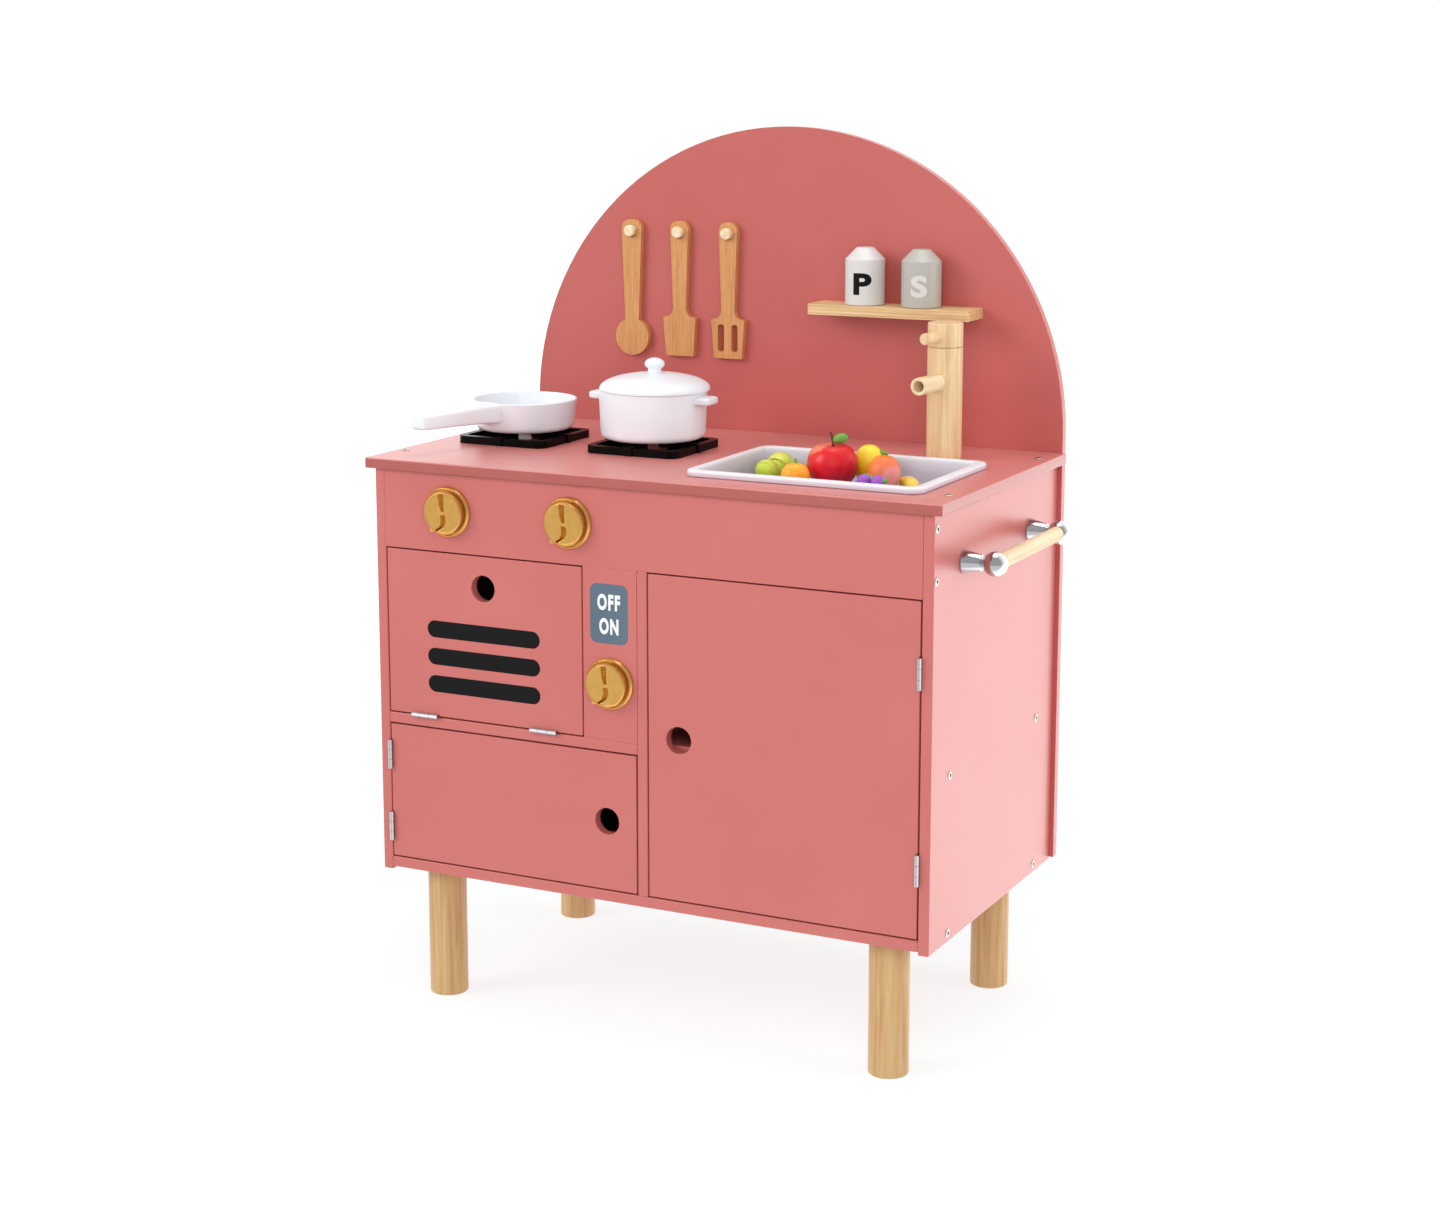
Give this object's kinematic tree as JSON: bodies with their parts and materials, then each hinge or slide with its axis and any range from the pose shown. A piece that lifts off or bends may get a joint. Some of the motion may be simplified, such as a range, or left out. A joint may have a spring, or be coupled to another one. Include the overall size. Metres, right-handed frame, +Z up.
{
  "type": "wooden toy kitchen",
  "caption": "Painted wooden play kitchen on round legs, with hinged doors, turning knobs, a hob with pots, a drop-in sink with faucet and play food, and a half-round backboard.",
  "frame": {"origin": "bottom centre of the outer box, on the floor between the legs", "axes": "+Z up along the kitchen's height, +Y towards the backboard, +X to the right as seen from the front, where the towel rail is"},
  "size_m": [0.6328, 0.3422, 0.8558],
  "materials": {
    "pink_paint": "satin paint on board",
    "pale_wood": "clear satin",
    "hinge_steel": "bright",
    "gold_plastic": "satin gold",
    "rail_chrome": "polished",
    "grate_black": "satin",
    "white_plastic": "gloss",
    "oiled_wood": "oiled",
    "white_paint": "satin paint",
    "grey_paint": "satin paint",
    "apple_red": "gloss",
    "pear_green": "gloss",
    "orange_yellow": "gloss",
    "lemon_yellow": "gloss",
    "peach_orange": "gloss",
    "grape_purple": "gloss",
    "banana_yellow": "gloss"
  },
  "bodies": {
    "cabinet": {"worktop": "pink_paint", "left_side_panel": "pink_paint", "right_side_panel": "pink_paint", "bottom_board": "pink_paint", "divider": "pink_paint", "oven_shelf": "pink_paint", "cupboard_shelf": "pink_paint", "fascia": "pink_paint", "control_panel": "pink_paint", "backboard": "pink_paint", "spoon_peg": "pale_wood", "turner_peg": "pale_wood", "slotted_turner_peg": "pale_wood", "spice_shelf": "pale_wood", "front_left_leg": "pale_wood", "front_right_leg": "pale_wood", "rear_left_leg": "pale_wood", "rear_right_leg": "pale_wood", "left_grate": "grate_black", "right_grate": "grate_black", "rail_front_post": "rail_chrome", "rail_rear_post": "rail_chrome", "rail_dowel": "pale_wood", "oven_left_hinge_fixed_leaf": "hinge_steel", "oven_right_hinge_fixed_leaf": "hinge_steel", "lower_upper_hinge_fixed_leaf": "hinge_steel", "lower_lower_hinge_fixed_leaf": "hinge_steel", "cupboard_upper_hinge_fixed_leaf": "hinge_steel", "cupboard_lower_hinge_fixed_leaf": "hinge_steel"},
    "oven_door": {"oven_door": "pink_paint", "oven_left_hinge_moving_leaf": "hinge_steel", "oven_right_hinge_moving_leaf": "hinge_steel"},
    "lower_door": {"lower_door": "pink_paint", "lower_upper_hinge_moving_leaf": "hinge_steel", "lower_lower_hinge_moving_leaf": "hinge_steel"},
    "cupboard_door": {"cupboard_door": "pink_paint", "cupboard_upper_hinge_moving_leaf": "hinge_steel", "cupboard_lower_hinge_moving_leaf": "hinge_steel"},
    "left_hob_knob": {"left_hob_knob": "gold_plastic"},
    "right_hob_knob": {"right_hob_knob": "gold_plastic"},
    "oven_knob": {"oven_knob": "gold_plastic"},
    "faucet": {"faucet_post": "pale_wood", "faucet_spout": "pale_wood"},
    "faucet_head": {"faucet_head": "pale_wood"},
    "sink_basin": {"sink_basin": "white_plastic"},
    "pan": {"pan": "white_plastic"},
    "pot": {"pot": "white_plastic"},
    "pot_lid": {"pot_lid": "white_plastic"},
    "spoon": {"spoon": "oiled_wood"},
    "turner": {"turner": "oiled_wood"},
    "slotted_turner": {"slotted_turner": "oiled_wood"},
    "pepper_shaker": {"pepper_shaker": "white_paint"},
    "salt_shaker": {"salt_shaker": "grey_paint"},
    "apple": {"apple": "apple_red"},
    "pear": {"pear": "pear_green"},
    "orange": {"orange": "orange_yellow"},
    "lemon": {"lemon": "lemon_yellow"},
    "peach": {"peach": "peach_orange"},
    "grapes": {"grapes": "grape_purple"},
    "banana": {"banana": "banana_yellow"}
  },
  "joints": [
    {"name": "oven_door_hinge", "type": "hinge", "parent": "cabinet", "child": "oven_door", "pos_m": [-0.18745, -0.16235, 0.2927], "axis": [1, 0, 0], "range_deg": [0, 170]},
    {"name": "lower_door_hinge", "type": "hinge", "parent": "cabinet", "child": "lower_door", "pos_m": [-0.29595, -0.16235, 0.21235], "axis": [0, 0, -1], "range_deg": [0, 178.8]},
    {"name": "cupboard_door_hinge", "type": "hinge", "parent": "cabinet", "child": "cupboard_door", "pos_m": [0.26325, -0.16235, 0.30035], "axis": [0, 0, 1], "range_deg": [0, 178.8]},
    {"name": "left_hob_knob_turn", "type": "hinge", "parent": "cabinet", "child": "left_hob_knob", "pos_m": [-0.22525, -0.15985, 0.4966], "axis": [0, 1, 0], "continuous": true},
    {"name": "right_hob_knob_turn", "type": "hinge", "parent": "cabinet", "child": "right_hob_knob", "pos_m": [-0.09265, -0.15985, 0.4966], "axis": [0, 1, 0], "continuous": true},
    {"name": "oven_knob_turn", "type": "hinge", "parent": "cabinet", "child": "oven_knob", "pos_m": [-0.0492, -0.15985, 0.3469], "axis": [0, 1, 0], "continuous": true},
    {"name": "faucet_swivel", "type": "hinge", "parent": "cabinet", "child": "faucet", "pos_m": [0.18715, 0.08045, 0.5436], "axis": [0, 0, 1], "range_deg": [-90, 90]},
    {"name": "faucet_head_turn", "type": "hinge", "parent": "faucet", "child": "faucet_head", "pos_m": [0.18715, 0.08045, 0.6519], "axis": [0, 0, 1], "range_deg": [-90, 90]},
    {"name": "sink_basin_lift", "type": "slide", "parent": "cabinet", "child": "sink_basin", "axis": [0, 0, 1], "range_m": [0, 0.05]},
    {"name": "pan_lift", "type": "slide", "parent": "cabinet", "child": "pan", "axis": [0, 0, 1], "range_m": [0, 0.08]},
    {"name": "pot_lift", "type": "slide", "parent": "cabinet", "child": "pot", "axis": [0, 0, 1], "range_m": [0, 0.08]},
    {"name": "pot_lid_lift", "type": "slide", "parent": "pot", "child": "pot_lid", "axis": [0, 0, 1], "range_m": [0, 0.06]},
    {"name": "spoon_unhook", "type": "slide", "parent": "cabinet", "child": "spoon", "axis": [0, -1, 0], "range_m": [0, 0.02]},
    {"name": "turner_unhook", "type": "slide", "parent": "cabinet", "child": "turner", "axis": [0, -1, 0], "range_m": [0, 0.02]},
    {"name": "slotted_turner_unhook", "type": "slide", "parent": "cabinet", "child": "slotted_turner", "axis": [0, -1, 0], "range_m": [0, 0.02]},
    {"name": "pepper_shaker_lift", "type": "slide", "parent": "cabinet", "child": "pepper_shaker", "axis": [0, 0, 1], "range_m": [0, 0.08]},
    {"name": "salt_shaker_lift", "type": "slide", "parent": "cabinet", "child": "salt_shaker", "axis": [0, 0, 1], "range_m": [0, 0.08]},
    {"name": "apple_lift", "type": "slide", "parent": "sink_basin", "child": "apple", "axis": [0, 0, 1], "range_m": [0, 0.06]},
    {"name": "pear_lift", "type": "slide", "parent": "sink_basin", "child": "pear", "axis": [0, 0, 1], "range_m": [0, 0.06]},
    {"name": "orange_lift", "type": "slide", "parent": "sink_basin", "child": "orange", "axis": [0, 0, 1], "range_m": [0, 0.06]},
    {"name": "lemon_lift", "type": "slide", "parent": "sink_basin", "child": "lemon", "axis": [0, 0, 1], "range_m": [0, 0.06]},
    {"name": "peach_lift", "type": "slide", "parent": "sink_basin", "child": "peach", "axis": [0, 0, 1], "range_m": [0, 0.06]},
    {"name": "grapes_lift", "type": "slide", "parent": "sink_basin", "child": "grapes", "axis": [0, 0, 1], "range_m": [0, 0.06]},
    {"name": "banana_lift", "type": "slide", "parent": "sink_basin", "child": "banana", "axis": [0, 0, 1], "range_m": [0, 0.06]}
  ]
}
